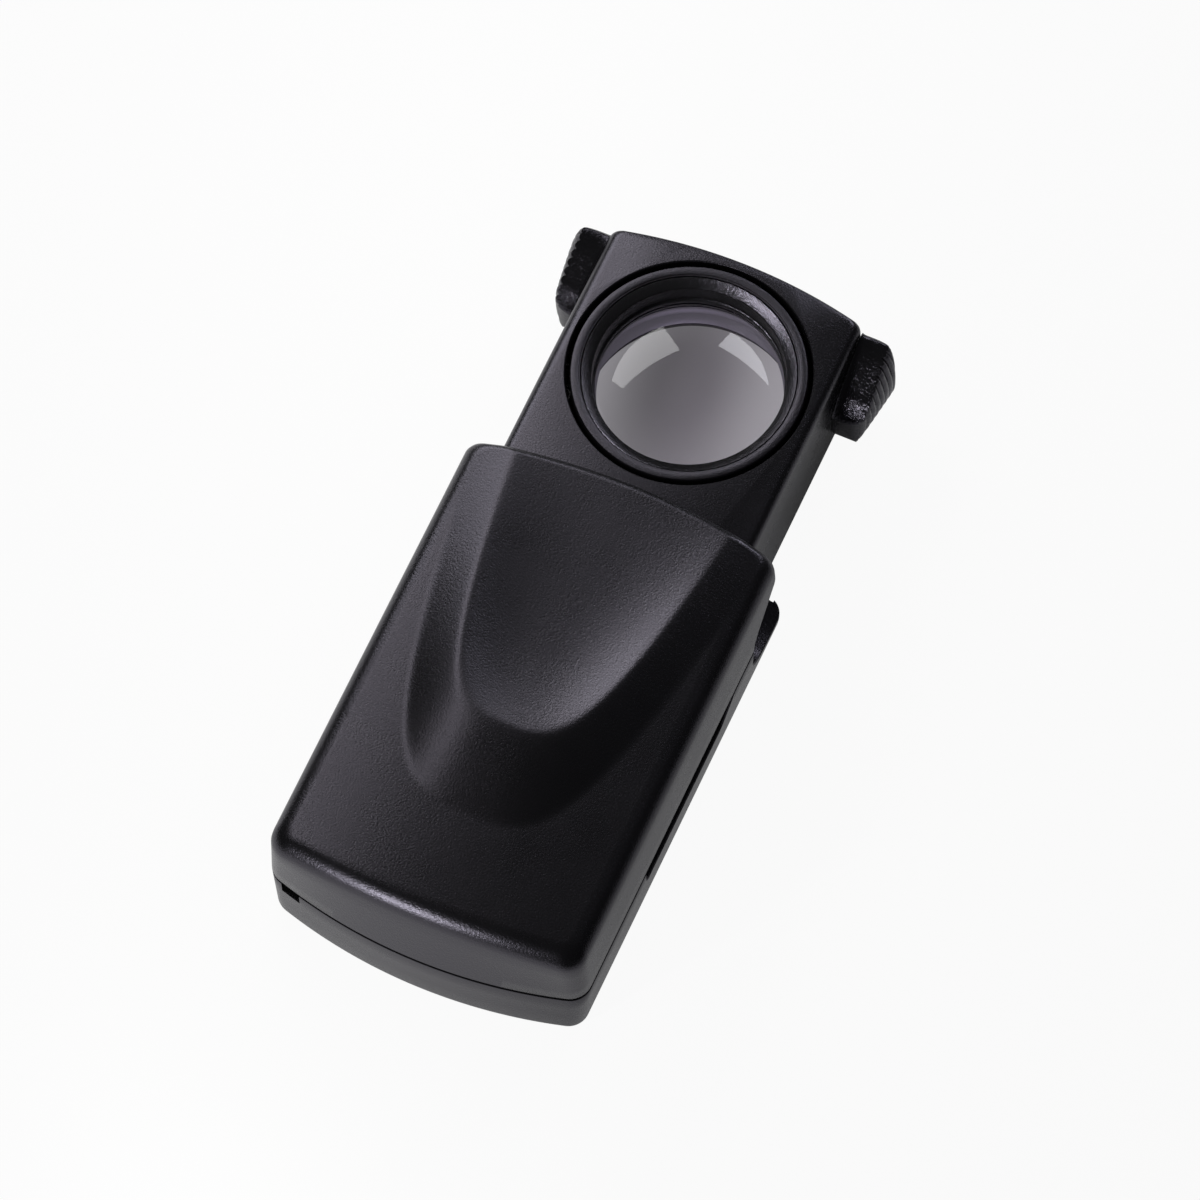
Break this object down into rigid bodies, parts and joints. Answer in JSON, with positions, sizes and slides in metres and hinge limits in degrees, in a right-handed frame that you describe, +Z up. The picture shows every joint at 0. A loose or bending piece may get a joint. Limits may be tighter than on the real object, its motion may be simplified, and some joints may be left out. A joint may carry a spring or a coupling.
{
  "type": "illuminated pocket magnifier",
  "caption": "Flat pocket magnifier with a thumb dish: a carriage with ribbed grips slides out of the case with its lens group, lamps and button cells, and lights as it opens.",
  "frame": {"origin": "middle of the case's flat underside, halfway between the case's front and rear ends", "axes": "+Y along the slide, towards the lens end; +Z up, out of the thumb dish; +X to the right, seen from the tail end looking at the lens end"},
  "size_m": [0.0376, 0.0838, 0.019],
  "materials": {
    "case_plastic": "fine satin moulding grain",
    "carriage_plastic": "fine satin moulding grain",
    "grip_plastic": "coarse grain under a gloss",
    "barrel_plastic": "grained, satin",
    "lens_glass": "polished, clear",
    "screw_steel": "zinc-plated",
    "cell_steel": "nickel-plated can",
    "contact_brass": "stamped strip",
    "board": "coated laminate",
    "resistor_body": "glazed top, plated ends",
    "lamp_resin": "clear cast resin",
    "lead_red": "smooth insulation",
    "lead_black": "smooth insulation"
  },
  "bodies": {
    "case": {"upper_shell": "case_plastic", "lower_shell": "case_plastic", "case_screws": "screw_steel", "bridge_strip": "contact_brass"},
    "carriage": {"carriage_top": "carriage_plastic", "carriage_base": "carriage_plastic", "carriage_screws": "screw_steel", "grip_left": "grip_plastic", "grip_right": "grip_plastic", "lens_barrel": "barrel_plastic", "retaining_ring": "barrel_plastic", "upper_lens": "lens_glass", "lens_spacer": "barrel_plastic", "lower_lens": "lens_glass", "circuit_board": "board", "resistors": "resistor_body", "led_left": "lamp_resin", "led_right": "lamp_resin", "cell_lower": "cell_steel", "cell_middle": "cell_steel", "cell_upper": "cell_steel", "contact_lower": "contact_brass", "contact_upper": "contact_brass", "brush_left": "contact_brass", "brush_right": "contact_brass", "lead_left": "lead_red", "lead_right": "lead_black"}
  },
  "joints": [
    {"name": "carriage_slide", "type": "slide", "parent": "case", "child": "carriage", "axis": [0, 1, 0], "range_m": [-0.027, 0]}
  ]
}
